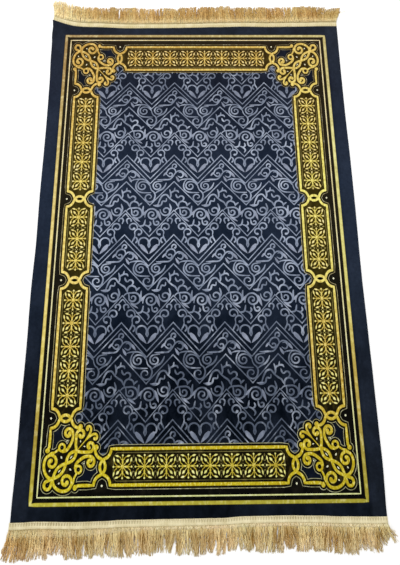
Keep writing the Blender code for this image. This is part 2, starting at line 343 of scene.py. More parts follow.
# Colours of the print: stops along the rug, others for its right side where they differ, both partly
# painted light and shade, then the lighter patches of painted sheen and the darker ones of painted shade,
# how much they show, and their scale, and for some the rim's painted shade
printLook = {
    "goldPile": {
        "stops": (
            (0.0, (192, 182, 26)), (0.12, (192, 174, 32)), (0.25, (202, 176, 88)), (0.42, (212, 188, 104)),
            (0.62, (208, 186, 102)), (0.80, (192, 156, 80)), (1.0, (156, 116, 54)),
        ),
        "right": (
            (0.0, (164, 150, 16)), (0.12, (172, 154, 24)), (0.25, (182, 152, 74)), (0.42, (210, 198, 104)),
            (0.62, (218, 212, 112)), (0.80, (204, 186, 98)), (1.0, (192, 160, 84)),
        ),
        "brushedAndSheen": (240, 228, 148), "shaded": (146, 114, 32), "share": 0.6, "grain": 260.0,
        "rim": (56, 42, 10),
    },
    "framePile": {
        "stops": (
            (0.0, (178, 172, 60)), (0.14, (146, 126, 50)), (0.23, (194, 178, 86)), (0.42, (208, 188, 112)),
            (0.7, (186, 166, 106)), (0.88, (144, 116, 72)), (1.0, (140, 114, 76)),
        ),
        "right": (
            (0.0, (144, 140, 40)), (0.14, (160, 144, 70)), (0.23, (172, 150, 72)), (0.42, (198, 192, 112)),
            (0.7, (202, 198, 130)), (0.88, (184, 172, 116)), (1.0, (176, 164, 110)),
        ),
        "brushedAndSheen": (236, 228, 170), "shaded": (132, 108, 44), "share": 0.32, "grain": 120.0,
        "rim": (60, 44, 14),
    },
    "stemPile": {
        "stops": (
            (0.0, (188, 178, 44)), (0.3, (208, 182, 84)), (0.6, (210, 188, 96)), (1.0, (170, 128, 62)),
        ),
        "right": (
            (0.0, (162, 150, 30)), (0.3, (190, 164, 80)), (0.6, (218, 208, 108)), (1.0, (198, 164, 86)),
        ),
        "brushedAndSheen": (236, 226, 156), "shaded": (120, 90, 32), "share": 0.6, "grain": 240.0,
    },
    "creamPile": {
        "stops": ((0.0, (206, 208, 122)), (0.4, (222, 208, 130)), (1.0, (208, 182, 122))),
        "brushedAndSheen": (236, 232, 196), "shaded": (150, 144, 84),
    },
    "outlinePile": {
        "stops": ((0.0, (140, 142, 106)), (0.4, (156, 144, 102)), (1.0, (108, 92, 60))),
        "brushedAndSheen": (206, 204, 176), "shaded": (88, 82, 52), "share": 0.6, "grain": 160.0,
    },
    "thinPile": {
        "stops": ((0.0, (190, 196, 130)), (0.3, (206, 200, 150)), (1.0, (204, 184, 138))),
        "brushedAndSheen": (232, 230, 206), "shaded": (150, 142, 96), "grain": 160.0,
    },
    "whitePile": {
        "stops": ((0.0, (206, 208, 176)), (1.0, (206, 198, 168))),
        "brushedAndSheen": (236, 236, 224), "shaded": (150, 148, 116), "grain": 160.0,
    },
    "blackPile": {
        "stops": ((0.0, (4, 4, 3)), (0.2, (8, 7, 5)), (0.5, (22, 20, 12)), (1.0, (32, 24, 12))),
        "brushedAndSheen": (44, 40, 30), "shaded": (5, 4, 3), "share": 0.2,
    },
    "panelPile": {
        "stops": ((0.0, (7, 6, 2)), (0.2, (20, 16, 3)), (0.5, (46, 39, 6)), (1.0, (46, 32, 6))),
        "brushedAndSheen": (76, 66, 26), "shaded": (14, 11, 4), "grain": 90.0,
    },
    "dimPile": {
        "stops": ((0.0, (86, 82, 44)), (0.5, (140, 128, 70)), (1.0, (112, 92, 52))),
        "brushedAndSheen": (170, 160, 110), "shaded": (50, 42, 22),
    },
    "shadePile": {
        "stops": ((0.0, (52, 48, 8)), (0.3, (92, 76, 12)), (0.6, (110, 92, 20)), (1.0, (98, 68, 16))),
        "brushedAndSheen": (140, 120, 40), "shaded": (52, 40, 8),
    },
    "voidPile": {
        "stops": ((0.0, (7, 13, 24)), (0.5, (12, 17, 28)), (1.0, (16, 18, 26))),
        "brushedAndSheen": (30, 36, 50), "shaded": (4, 7, 12),
    },
    "silverPile": {
        "stops": (
            (0.0, (62, 70, 82)), (0.25, (80, 88, 102)), (0.45, (126, 136, 154)), (0.65, (130, 139, 156)),
            (1.0, (74, 79, 92)),
        ),
        "brushedAndSheen": (190, 198, 212), "shaded": (58, 66, 82), "share": 0.45,
    },
    "brightSilverPile": {
        "stops": ((0.0, (84, 92, 106)), (0.5, (136, 143, 160)), (1.0, (98, 103, 116))),
        "brushedAndSheen": (172, 178, 192), "shaded": (70, 78, 94),
    },
}

prints = {name: makePrint(name, **look) for name, look in printLook.items()}
print("materials made")


# Strokes of the print: a path with half widths, in millimetres


def smoothPath(points, step=1.6):
    points = [Vector((*point, 0.0)) for point in points]
    tangents = []
    for index in range(len(points)):
        before, after = points[max(0, index - 1)], points[min(len(points) - 1, index + 1)]
        tangents.append((after - before).normalized())
    path = []
    for here, there, out, back in zip(points, points[1:], tangents, tangents[1:]):
        reach = (there - here).length / 3.0
        cuts = max(2, math.ceil(3.0 * reach / step) + 1)
        handles = here + out * reach, there - back * reach
        path += geometry.interpolate_bezier(here, *handles, there, cuts)[:-1]
    return path + [points[-1]]


def arcPoints(centre, radius, fromDegrees, toDegrees, steps):
    found = []
    for number in range(steps + 1):
        angle = math.radians(fromDegrees + (toDegrees - fromDegrees) * number / steps)
        found.append((centre[0] + radius * math.cos(angle), centre[1] + radius * math.sin(angle)))
    return found


def spiralPoints(start, centre, turns, endRadius, hold, perTurn=9):
    # From start round the centre, drawing in to endRadius, later with a higher hold.
    # Turns above 0 go anticlockwise.
    arm = Vector(start) - Vector(centre)
    angle = math.atan2(arm.y, arm.x)
    steps = max(3, round(abs(turns) * perTurn))
    found = []
    for number in range(1, steps + 1):
        share = number / steps
        radius = arm.length + (endRadius - arm.length) * share**hold
        turn = angle + 2 * math.pi * turns * share
        found.append((centre[0] + radius * math.cos(turn), centre[1] + radius * math.sin(turn)))
    return found


strokeLook = {
    "tipPower": 0.7,
    "knobReach": 2.2,
    "leafSteps": 7,
    "leafPower": 0.8,
    "thinnest": 0.05,
    "dotHalf": 0.05,
    # steps of a round cap, more where its radius is above wideCap
    "capSteps": (2, 4),
    "wideCap": 2.0,
    "capTip": 0.02,
}


def stroke(path, half, closed=False, start=1.0, end=1.0, ball=0.0, taper=0.3):
    # start and end: the share of the half width left at each tip; ball: a round knob at the end
    lengths = [0.0]
    for before, after in zip(path, path[1:]):
        lengths.append(lengths[-1] + (Vector(after) - Vector(before)).length)
    total = lengths[-1]
    widths = []
    for done in lengths:
        shares = []
        for least, away in ((start, done), (end, total - done)):
            shares.append(least + (1 - least) * min(1.0, away / (total * taper)) ** strokeLook["tipPower"])
        width = half * min(shares)
        if ball:
            away = (total - done) / (strokeLook["knobReach"] * ball)
            if away < 1.0:
                width += (ball - width) * (1 - away * away) ** 2
        widths.append(width)
    return {"path": [Vector((p[0], p[1])) for p in path], "widths": widths, "closed": closed}


def scroll(points, half, centre=None, turns=0.0, endRadius=2.0, ball=0.0, start=1.0, end=1.0, hold=0.85):
    # A smooth stroke that may end in a spiral round the centre
    guide = list(points)
    if centre:
        guide += spiralPoints(points[-1], centre, turns, endRadius, hold)
    return stroke(smoothPath(guide), half, start=start, end=end, ball=ball)


def leaf(tip, tail, half, lean=0.8, blunt=0.0):
    # A leaf between two points. A low lean puts its widest place at the tail, and blunt is the
    # share of its width that the tail starts with.
    path, widths = [], []
    for number in range(strokeLook["leafSteps"] + 1):
        share = number / strokeLook["leafSteps"]
        path.append(Vector(tail).lerp(Vector(tip), share))
        swell = math.sin(math.pi * share**lean) ** strokeLook["leafPower"]
        widths.append(max(strokeLook["thinnest"], half * swell))
    widths[0] = max(widths[0], half * blunt)
    return {"path": path, "widths": widths, "closed": False}


def dot(centre, radius):
    x, y = centre
    return stroke([(x - strokeLook["dotHalf"], y), (x + strokeLook["dotHalf"], y)], radius)


def mapped(strokes, place):
    return [{**one, "path": [Vector(place(p)) for p in one["path"]]} for one in strokes]


def thinned(strokes):
    # Every second point of each stroke, and its last one
    found = []
    for one in strokes:
        kept = {key: one[key][:-1:2] + one[key][-1:] for key in ("path", "widths")}
        found.append({**one, **kept})
    return found


def mirrored(strokes):
    return mapped(strokes, lambda p: (p.y, p.x))


def flipped(strokes):
    return mapped(strokes, lambda p: (-p.x, p.y))


def moved(strokes, dx):
    return mapped(strokes, lambda p: (p.x + dx, p.y))


def capped(one, grow):
    # The stroke's points with half widths, grown all round, and a round cap at each open end
    path, widths = one["path"], [width + grow for width in one["widths"]]
    out = list(zip(path, widths))
    if one["closed"]:
        return out
    caps = []
    for tip, inner, radius in ((path[0], path[1], widths[0]), (path[-1], path[-2], widths[-1])):
        way = (tip - inner).normalized()
        cap = []
        steps = strokeLook["capSteps"][radius > strokeLook["wideCap"]]
        for number in range(1, steps + 1):
            angle = math.pi / 2 * number / steps
            width = max(strokeLook["capTip"], radius * math.cos(angle))
            cap.append((tip + way * radius * math.sin(angle), width))
        caps.append(cap)
    return caps[0][::-1] + out + caps[1]


# Curves and meshes


def linked(name, data):
    made = bpy.data.objects.new(name, data)
    bpy.context.scene.collection.objects.link(made)
    return made


def makeCurve(name, lines, **settings):
    # Each line: its points, their half widths or None, and whether it is closed
    curve = bpy.data.curves.new(name, "CURVE")
    for key, value in settings.items():
        setattr(curve, key, value)
    for points, widths, closed in lines:
        spline = curve.splines.new("POLY")
        spline.points.add(len(points) - 1)
        for point, place, width in zip(spline.points, points, widths or [1.0] * len(points)):
            point.co = (*Vector(place).to_3d(), 1.0)
            point.radius = width
        spline.use_cyclic_u = closed
    return linked(name, curve)


def makeSection(name, points):
    return makeCurve(name, [(points, None, True)], dimensions="2D", fill_mode="NONE")


def taken(holder):
    # The bmesh of an object's curve or modifiers; the object goes
    mesh = bpy.data.meshes.new_from_object(holder.evaluated_get(bpy.context.evaluated_depsgraph_get()))
    bpy.data.objects.remove(holder)
    bm = bmesh.new()
    bm.from_mesh(mesh)
    bpy.data.meshes.remove(mesh)
    return bm


sections = {
    "domed": makeSection("domedSection", ((-1, 0), (-0.68, 0.07), (0, 0.10), (0.68, 0.07), (1, 0))),
    "flat": makeSection("flatSection", ((-1, 0), (0, 0.02), (1, 0))),
}
mergeWithin = 0.0005


def strokeMesh(strokes, section, grow=0.0):
    # A bmesh in millimetres, flat on z = 0
    lines = []
    for one in strokes:
        path, widths = zip(*capped(one, grow))
        lines.append((path, widths, one["closed"]))
    holder = makeCurve(
        "strokes",
        lines,
        dimensions="3D",
        twist_mode="Z_UP",
        bevel_mode="OBJECT",
        bevel_object=sections[section],
        use_fill_caps=True,
    )
    bm = taken(holder)
    bmesh.ops.remove_doubles(bm, verts=bm.verts, dist=mergeWithin)
    return bm


def slabMesh(loops, thickness=0.03):
    # A thin filled shape with holes, in millimetres, from closed outlines
    lines = [(loop, None, True) for loop in loops]
    bm = taken(makeCurve("slab", lines, dimensions="2D", fill_mode="BOTH", extrude=thickness / 2))
    bmesh.ops.remove_doubles(bm, verts=bm.verts, dist=mergeWithin)
    return bm


def bisect(bm, place, normal, **clear):
    whole = bm.verts[:] + bm.edges[:] + bm.faces[:]
    bmesh.ops.bisect_plane(bm, geom=whole, plane_co=place, plane_no=normal, **clear)


def cutForCurl(bm, cuts=7):
    # Extra cuts so that a wide piece bends with the curled corner
    corner = Vector((-rugShape["width"] / 2, rugShape["length"] / 2, 0.0)) / mm
    for number in range(1, cuts + 1):
        reach = rugShape["curlReach"] / mm * number / cuts
        bisect(bm, corner + Vector((reach, 0.0, 0.0)), Vector((1.0, -1.0, 0.0)).normalized())


def joined(meshes):
    out = bmesh.new()
    for bm in meshes:
        part = bpy.data.meshes.new("part")
        bm.to_mesh(part)
        bm.free()
        out.from_mesh(part)
        bpy.data.meshes.remove(part)
    return out


def copied(bm, scale=(1.0, 1.0), shift=(0.0, 0.0)):
    # A scaled copy; a mirrored one is turned right side out
    out = bm.copy()
    bmesh.ops.scale(out, vec=(*scale, 1.0), verts=out.verts)
    bmesh.ops.translate(out, vec=(*shift, 0.0), verts=out.verts)
    if scale[0] * scale[1] < 0:
        bmesh.ops.reverse_faces(out, faces=out.faces)
    return out


def fromMesh(name, bm, *materials, smooth=True):
    # A new object with the bmesh, which is freed
    mesh = bpy.data.meshes.new(name)
    bm.to_mesh(mesh)
    bm.free()
    if smooth:
        mesh.shade_smooth()
    for material in materials:
        mesh.materials.append(material)
    return linked(name, mesh)


def addPiece(name, bm, *materials, smooth=True):
    made = fromMesh(name, bm, *materials, smooth=smooth)
    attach(made, "root")
    print(name, len(made.data.polygons), "faces")
    return made


# How high each layer of the print lies above the pile, in millimetres
lifts = {
    "field": 0.06,
    "ground": 0.14,
    "void": 0.19,
    "pale": 0.22,
    "black": 0.30,
    "gold": 0.42,
    "inside": 0.44,
    "shade": 0.47,
    "detail": 0.50,
    "leaf": 0.54,
}
sharpFrom = math.radians(50)


def layOnRug(name, lift, look, meshes, smooth=True):
    # Millimetres on the pattern to metres on the pile, with the lowest points marked as the rim, which some
    # prints darken with painted shade
    bm = joined(meshes)
    rim = bm.verts.layers.float.new("rim")
    for vert in bm.verts:
        x, y = vert.co.x * mm, vert.co.y * mm
        x *= 1.0 - rugShape["waist"] * (1.0 - (2 * y / rugShape["length"]) ** 2)
        vert[rim] = 1.0 if vert.co.z < mm else 0.0
        z = rugShape["thickness"] + (lifts[lift] + vert.co.z) * mm + curl(x, y)
        vert.co = toRow(x, y, z)
    made = addPiece(name, bm, prints[look], smooth=smooth)
    if smooth:
        made.data.set_sharp_from_angle(angle=sharpFrom)


# The border

border = {
    "stretch": 1.17,
    "cornerX": 300.0,
    "cornerY": 504.6,
    "panelMiddle": 39.2,
    "panelHalf": 27.5,
    "notch": 15.5,
    "eye": (5.2, 10.4),
    "strap": 2.85,
    "blackGrow": 3.0,
    "paleGrow": 4.0,
    "endJoint": 184.7,
    "sideJoint": 79.0,
    "farSideJoint": 316.0,
    "frameX": 316.5,
    "frameY": 523.2,
    "frameHalf": 3.7,
    "groundTuck": 1.0,
    "thinX": 305.0,
    "thinY": 511.0,
    "thinHalf": 1.25,
    # the chain of lenses on a corner's diagonal: its knots and how far it bows, and the end loop
    "knots": (22.2, 45.3, 64.5),
    "lensBow": 5.6,
    "loop": ((12.6, 12.6), 6.2),
}


def panelEnd(joint, way):
    # Round a joint from the upper line to the lower one; way is 1 at a panel's right end
    half, notch = border["panelHalf"], border["notch"]
    wide, high = border["eye"]
    found = arcPoints((joint, half), notch, 180, 250, 8)
    for x, y in ((0, 1), (0.66, 0.62), (0.93, 0.3), (1, 0), (0.93, -0.3), (0.66, -0.62), (0, -1)):
        found.append((joint + wide * x, high * y))
    found += arcPoints((joint, -half), notch, 110, 180, 8)
    return found if way > 0 else [(2 * joint - x, y) for x, y in found[::-1]]


def spaced(start, end, step=9.0):
    start, end = Vector(start), Vector(end)
    count = max(1, math.ceil((end - start).length / step))
    return [tuple(start.lerp(end, number / count)) for number in range(count)]


def panelLoop(left, right):
    ends = panelEnd(right, 1), panelEnd(left, -1)
    loop = []
    for here, there in zip(ends, ends[::-1]):
        loop += here[:-1] + spaced(here[-1], there[0])
    return loop


def onBorder(make):
    # Makes each panel's mesh once and lays it on both ends or both sides
    stretch, middle = border["stretch"], border["panelMiddle"]
    end, near, far = border["endJoint"], border["sideJoint"], border["farSideJoint"]
    spans = ((-end, end, "ends"), (-near, near, "sides"), (near, far, "sides"), (-far, -near, "sides"))
    found = []
    for left, right, where in spans:
        for side in (-1, 1):
            bm = make(left, right)
            if where == "ends":
                shift = (0.0, side * (border["cornerY"] - middle * stretch))
                found.append(copied(bm, (1.0, side * stretch), shift))
            else:
                bmesh.ops.rotate(bm, matrix=Matrix.Rotation(math.pi / 2, 3, "Z"), verts=bm.verts)
                found.append(copied(bm, (side, stretch), (side * (border["cornerX"] - middle), 0.0)))
            bm.free()
    return found


def panelStroke(left, right):
    return stroke(panelLoop(left, right), border["strap"], closed=True)


def ring(centre, radius, half, start, steps):
    return stroke(arcPoints(centre, radius, start, start + 360, steps)[:-1], half, closed=True)


def cornerStrokes():
    # Scrollwork from (0, 0) at the outer corner; what half holds is mirrored across y = x
    wide, middle = border["strap"], border["panelMiddle"]
    low, high = middle - border["panelHalf"], middle + border["panelHalf"]
    joint = border["cornerX"] - border["endJoint"]
    # the strap that comes round the joint, from its ball to its ring bud
    strap = [(8.4, 64.8), (low - 0.3, 70), (low, 78), (low, 88)]
    strap += [(middle - y, joint + x) for x, y in panelEnd(0.0, 1)]
    strap += [(high + 0.5, joint - 15), (high + 2.6, joint - 12.6)]
    besideLoop = [(23, 22), (14.5, 23.5), (7.5, 30), (3.6, 41), (6, 52.5), (14.5, 58.2)]
    intoPanel = [(38, 63.6), (44.5, 65), (51.5, 73.5), (55.6, 83), (55, 93)]
    half = [
        stroke(strap, wide),
        dot((8.6, 64.8), 4.3),
        ring((high + 2.6, 101.8), 2.6, 1.9, 200, 14),
        scroll(besideLoop, wide, (17.6, 46.6), -0.95, 3.2, 4.0),
        # its link to the small ring
        scroll([(9.5, 56), (16, 61), (22, 62), (30, 66.5)], 2.0),
        ring((35.8, 69.5), 5.5, 2.2, 0, 18),
        scroll(intoPanel, wide, (46.2, 91.5), 0.95, 3.0, 3.9),
        # a strand from the chain up to a spiral, and the curl at the end of the thin stem
        scroll([(64, 64), (62.2, 74), (62.2, 86)], wide, (71.2, 89.5), -0.93, 3.0, 3.7),
        scroll([(80, 80), (87, 88.5), (90, 96)], 2.3, (85.2, 98.6), 0.62, 2.4, 3.3, start=0.5),
    ]
    strokes = half + mirrored(half)
    knots, lensSteps, diagonal = border["knots"], 8, 0.7071
    for side in (-1, 1):
        path = []
        for start, end in zip(knots[::-1], knots[-2::-1]):
            for number in range(lensSteps):
                share = number / lensSteps
                along = start + (end - start) * share
                bow = side * border["lensBow"] * math.sin(math.pi * share)
                path.append((along - bow * diagonal, along + bow * diagonal))
            side = -side
        path.append((knots[0], knots[0]))
        path += arcPoints(*border["loop"], 45 + side * 70, 45 + side * 180, 8)
        strokes.append(stroke(path, wide))
    strokes.append(stroke([(66, 66), (74, 74), (84, 84)], 1.0))
    return strokes


# Seen between the scrolls at a corner, and the dark ground behind them
cornerVoid = [
    (12, 70), (12, 100), (22, 104), (28, 116), (50, 116), (55, 100), (55, 80), (36, 66), (20, 62), (10, 64),
]
cornerBody = [
    (20, 20), (9, 28), (4, 42), (7, 54), (16, 60), (30, 66), (38, 66), (52, 74), (56, 84), (56, 96),
    (66, 102), (80, 96), (86, 86),
]


def eachCorner(bm):
    found = []
    for sideX in (-1, 1):
        for sideY in (-1, 1):
            scale = (-sideX, -sideY * border["stretch"])
            found.append(copied(bm, scale, (sideX * border["cornerX"], sideY * border["cornerY"])))
    bm.free()
    return found


def rectangle(x, y, half):
    corners = ((-x, -y), (x, -y), (x, y), (-x, y))
    path = []
    for here, there in zip(corners, corners[1:] + corners[:1]):
        path += spaced(here, there)
    return stroke(path, half, closed=True)


def groundHole():
    # The field's outline: along the middles of the straps, cut in at the joints and the corners
    stretch, notch, x, y = border["stretch"], border["notch"], border["cornerX"], border["cornerY"]
    reach = border["panelMiddle"] + border["panelHalf"]
    quarter = []
    for joint in (border["sideJoint"], border["farSideJoint"]):
        around = arcPoints((0.0, joint), notch, -90, 90, 10)
        quarter += [(x - reach + dx, dy * stretch) for dx, dy in around]
    body = ((-64, -100), (-76, -96), (-86, -86), (-96, -76), (-100, -64))
    quarter += [(x + dx, y + dy * stretch) for dx, dy in body]
    around = arcPoints((border["endJoint"], 0.0), notch, 0, 180, 10)
    quarter += [(dx, y - reach * stretch + dy * stretch) for dx, dy in around]
    loop = quarter + [(-x, y) for x, y in quarter[::-1]]
    return loop + [(-x, -y) for x, y in loop]


def makeBorder():
    corner = cornerStrokes()
    x, y = (border[key] + border["frameHalf"] - border["groundTuck"] for key in ("frameX", "frameY"))
    ground = slabMesh([[(-x, -y), (x, -y), (x, y), (-x, y)], groundHole()])
    cutForCurl(ground)
    layOnRug("borderGround", "ground", "blackPile", [ground], smooth=False)
    both = [slabMesh([cornerVoid]), slabMesh([[(y, x) for x, y in cornerVoid]])]
    layOnRug("borderVoids", "void", "voidPile", eachCorner(joined(both)), smooth=False)

    for name, look in (("pale", "outlinePile"), ("black", "blackPile")):
        grow = border[name + "Grow"]
        laid = onBorder(lambda left, right: strokeMesh([panelStroke(left, right)], "flat", grow))
        layOnRug(name + "Outline", name, look, laid + eachCorner(strokeMesh(corner, "flat", grow)))

    laid = onBorder(lambda left, right: slabMesh([panelLoop(left, right)]))
    body = cornerBody + [(y, x) for x, y in cornerBody[::-1]]
    layOnRug("panelGround", "inside", "panelPile", laid + eachCorner(slabMesh([body])), smooth=False)
    laid = onBorder(lambda left, right: strokeMesh([panelStroke(left, right)], "domed"))
    layOnRug("goldStrapwork", "gold", "goldPile", laid + eachCorner(strokeMesh(corner, "domed")))
    for name, key, look in (("goldFrame", "frame", "framePile"), ("thinFrame", "thin", "thinPile")):
        line = rectangle(border[key + "X"], border[key + "Y"], border[key + "Half"])
        layOnRug(name, "gold", look, [strokeMesh([line], "domed")])


makeBorder()

# Rosettes in the border's panels

rosette = {
    "pitch": 41.9,
    "shortPitch": 41.0,
    "pairPitch": 42.3,
    "endRoom": 30.0,
    "shadeGrow": 0.8,
    "lineInset": 6.0,
    "lineAway": 5.0,
    "lineHalf": 0.5,
    # pale drops between the scrolls of a corner: tip, tail and half width
    "accents": (
        ((36, 36), (31.6, 31.6), 1.0), ((57, 57), (52.4, 52.4), 0.9), ((34.6, 56.4), (37.2, 52.4), 1.4),
        ((16.4, 36), (14.2, 32.6), 1.2), ((70.6, 81), (71.2, 77), 0.9), ((46, 81.4), (43.8, 78.4), 0.8),
    ),
    # pale dots outside the joints: radius, and how far out
    "dots": (1.8, 0.8),
}


def rosetteStrokes():
    # One arm of four is drawn and turned; stems are gold and leaves pale
    armStems = [
        leaf((0, 13), (0, 3.2), 1.5),
        leaf((0, 4.6), (0, 0.4), 1.3, lean=0.5),
        leaf((3.2, 3.2), (0.3, 0.3), 1.2, lean=0.5),
        stroke([(0, 12), (0, 16.4)], 0.5),
        stroke([(2.6, 2.6), (7, 7)], 0.5),
    ]
    armLeaves = [leaf((11.8, 11.8), (6.6, 6.6), 1.8), dot((0, 17.3), 1.5)]
    stem = [scroll([(0.6, 9.8), (2.8, 11.4), (4.6, 14.2), (7.8, 15.6)], 0.5)]
    tipLeaf = [leaf((14.6, 17.3), (7.4, 15.6), 1.4)]
    armStems += stem + flipped(stem)
    armLeaves += tipLeaf + flipped(tipLeaf)
    stems, leaves = [dot((0, 0), 2.6)], []
    for quarter in range(4):
        turn = Matrix.Rotation(math.pi / 2 * quarter, 2)
        stems += mapped(armStems, lambda p: turn @ p)
        leaves += mapped(armLeaves, lambda p: turn @ p)
    return stems, leaves


def rowOf(part, between=False):
    # Lays the part on each rosette's middle in a panel, or halfway between them
    def make(left, right):
        count = round((right - left - rosette["endRoom"]) / rosette["pitch"])
        pitch = rosette["pitch" if count > 5 else "shortPitch" if count > 3 else "pairPitch"]
        places = [(left + right) / 2 + (number - (count - 1) / 2) * pitch for number in range(count)]
        if between:
            places = [place + pitch / 2 for place in places[:-1]]
        return joined([copied(part, shift=(place, 0.0)) for place in places])

    return make


def innerLine(left, right):
    # A thin line inside a panel, with its corners cut off
    cut = rosette["lineInset"]
    half = border["panelHalf"] - cut
    path = []
    for way, joint in ((1, right), (-1, left)):
        edge = joint - way * (border["notch"] + rosette["lineAway"])
        high, low = way * half, way * (half - cut)
        stops = ((edge - way * cut, high), (edge, low), (edge, -low), (edge - way * cut, -high))
        for here, there, step in zip(stops, stops[1:], (4.0, 20.0, 4.0)):
            path += spaced(here, there, step)
        path.append(stops[-1])
    return strokeMesh([stroke(path, rosette["lineHalf"], closed=True)], "flat")


def makeRosettes():
    stems, leaves = rosetteStrokes()
    shade = strokeMesh(thinned(stems + leaves), "flat", rosette["shadeGrow"])
    # Pale arcs either side of the gap, and small leaves that point into it
    bud = [
        scroll([(-3.6, 13.6), (-2.2, 9), (0, 6.8), (2.2, 9), (3.6, 13.6)], 0.7),
        leaf((0, 18.4), (0, 13.4), 1.2),
        dot((0, 2.6), 1.0),
    ]
    buds = strokeMesh(bud + mapped(bud, lambda p: (p.x, -p.y)), "domed")
    layOnRug("rosetteShade", "shade", "shadePile", onBorder(rowOf(shade)))
    layOnRug("rosetteStems", "detail", "stemPile", onBorder(rowOf(strokeMesh(stems, "domed"))))
    layOnRug("rosetteLeaves", "leaf", "creamPile", onBorder(rowOf(strokeMesh(leaves, "domed"))))
    layOnRug("rosetteBuds", "detail", "dimPile", onBorder(rowOf(buds, between=True)))
    layOnRug("panelInnerLine", "detail", "dimPile", onBorder(innerLine))

    radius, out = rosette["dots"]
    accents = [leaf(*row) for row in rosette["accents"]]
    edge, joint = border["panelMiddle"] - border["panelHalf"] - out, border["cornerX"] - border["endJoint"]
    accents += mirrored(accents) + [dot((edge, joint), radius), dot((joint, edge), radius)]
    laid = eachCorner(strokeMesh(accents, "domed"))
    for place in (-border["sideJoint"], border["sideJoint"]):
        for side in (-1, 1):
            mark = strokeMesh([dot((side * (border["cornerX"] - edge), place), radius)], "domed")
            laid.append(copied(mark, (1.0, border["stretch"])))
    layOnRug("whiteAccents", "detail", "whitePile", laid)


makeRosettes()

# The field's repeat, drawn from the peak of its first zigzag line

field = {
    "across": 107.0,
    "along": 191.2,
    "repeats": 6,
    "peakX": -51.6,
    "peakY": 386.7,
    "lineHalf": 1.6,
    "thickHalf": 1.8,
    "edgeX": 240.0,
    "edgeY": 440.0,
    # peak and valley of each zigzag line, down from the first peak, and its half width
    "lines": ((-3.7, 54.6, 1.55), (8.8, 66.8, 1.45), (61.9, 118.9, 1.6), (130.8, 191.6, 1.5)),
}

# Scrolls: guide points, and for a spiral its middle, turns, end radius and knob.
# Leaves: tip, tail and half width. First the fine spirals between the double line and the next.
fineScrolls = (
    ([(-4.5, -27), (-3.4, -21.5)], (1.2, -23.5), -0.6, 3.4, 2.2),
    ([(-18, -44), (-14, -34), (-7.6, -29.4), (-0.8, -30), (3, -35), (3.2, -41)],),
    ([(-17.5, -43), (-12.6, -48.2)], (-8.25, -44.4), 0.75, 3, 1.9),
    ([(-37, -57.7), (-24, -57), (-10, -56.5), (-3, -50), (2.6, -41.5), (8, -36.5)],),
    ([(2.6, -41.5), (8, -36.5), (14.7, -36), (21.6, -40.4), (26, -48)],),
    ([(8.5, -48.5), (15, -52)], (13.8, -45), 0.55, 6),
    ([(11, -60), (18, -57), (28, -56), (38, -56.5), (46.5, -61.5), (53, -71)],),
    (
        [(53, -71), (54.3, -77), (57.4, -83.3), (61.8, -87), (64.9, -93.9), (64.5, -99.6)],
        (52, -100), -1.25, 2,
    ),
    (
        [(28, -57.5), (24, -62.5), (21.4, -72), (23, -80),
         (28, -85.5), (35.5, -88.3), (45.5, -88.9), (55.5, -88.9)],
    ),
    ([(51.8, -71), (46, -64.5), (37, -62)], (36.2, -73), 1.35, 1.8),
    ([(-27, -61), (-36.5, -61.8)], (-37, -72.6), 1.5, 2.2),
)
# A thick branch that reaches into them from below
branch = (([(-42, -90), (-34, -84.5), (-26, -80), (-20.5, -73), (-17.5, -65.5)],),)
fineLeaves = (
    ((-17, -38), (-24.5, -48.5), 2.0), ((-8, -57), (-37, -58), 1.8), ((31, -53), (21, -39.5), 2.7),
    ((4, -49), (12, -63.5), 2.5),
)
# The leafy scrolls below the single line
leafyScrolls = (
    ([(-9.5, -82), (-7.5, -89), (-7, -96), (-9, -103)],),
    ([(2, -77.5), (0.5, -84.5), (-4.5, -87.5), (-8, -92)],),
    ([(0.5, -84.5), (7.5, -84.5), (10.5, -88.5)],),
    ([(4.2, -92.5), (5.2, -96.5), (8, -100.3), (11.5, -100.5)],),
    ([(-36, -118), (-30, -103), (-25, -95.7), (-16.5, -94), (-9.5, -102.6), (-3, -107.8)],),
    ([(-9.5, -102.6), (-3, -107.8), (4.5, -113), (8.5, -121)],),
    ([(-45, -119), (-37, -121.5), (-28.5, -118), (-25, -109.5), (-18, -109.5), (-16.5, -103)],),
    (arcPoints((16.1, -102.7), 5.6, 165, -60, 9),),
    (
        [(10, -125), (10, -119.6), (11.8, -113.3),
         (16.8, -109.8), (21.8, -110.2), (27.4, -113.9), (29.3, -121)],
    ),
    ([(29.3, -119.6), (32, -116.5), (36, -113.5)],),
    (
        [(3, -131), (8, -126.5), (18, -125), (29, -125.5),
         (36.5, -133), (36, -143.5), (27, -149), (17, -146)],
    ),
    ([(13, -126), (14, -133.5)], (22, -136), 1.1, 2.5),
    ([(39.5, -121), (38.5, -130), (39.5, -138)],),
    ([(43, -147), (44.5, -138)], (59, -140.8), -1.65, 2.6, 2.4),
    ([(-30.5, -129), (-28.5, -136.5), (-22, -142.3)], (-17.8, -132.4), 1.1, 2.6),
    ([(-11, -138), (-6.5, -128), (-9.5, -116)],),
    ([(-45, -152.5), (-44.2, -159)], (-37.6, -159.6), 0.9, 2),
    ([(30.5, -167.5), (40.6, -165.6), (44.5, -153)],),
    ([(43.8, -165), (52, -169), (56.3, -175.8), (53.8, -181)],),
    ([(54.7, -157.5), (56.3, -163.3), (52.2, -167.5)],),
)
leafyLeaves = (
    ((-45, -119.5), (-30, -118.5), 1.9), ((49, -130), (38, -143), 2.6), ((-28, -155.5), (-36, -131), 2.9),
    ((34, -158), (17, -146.5), 2.3),
)
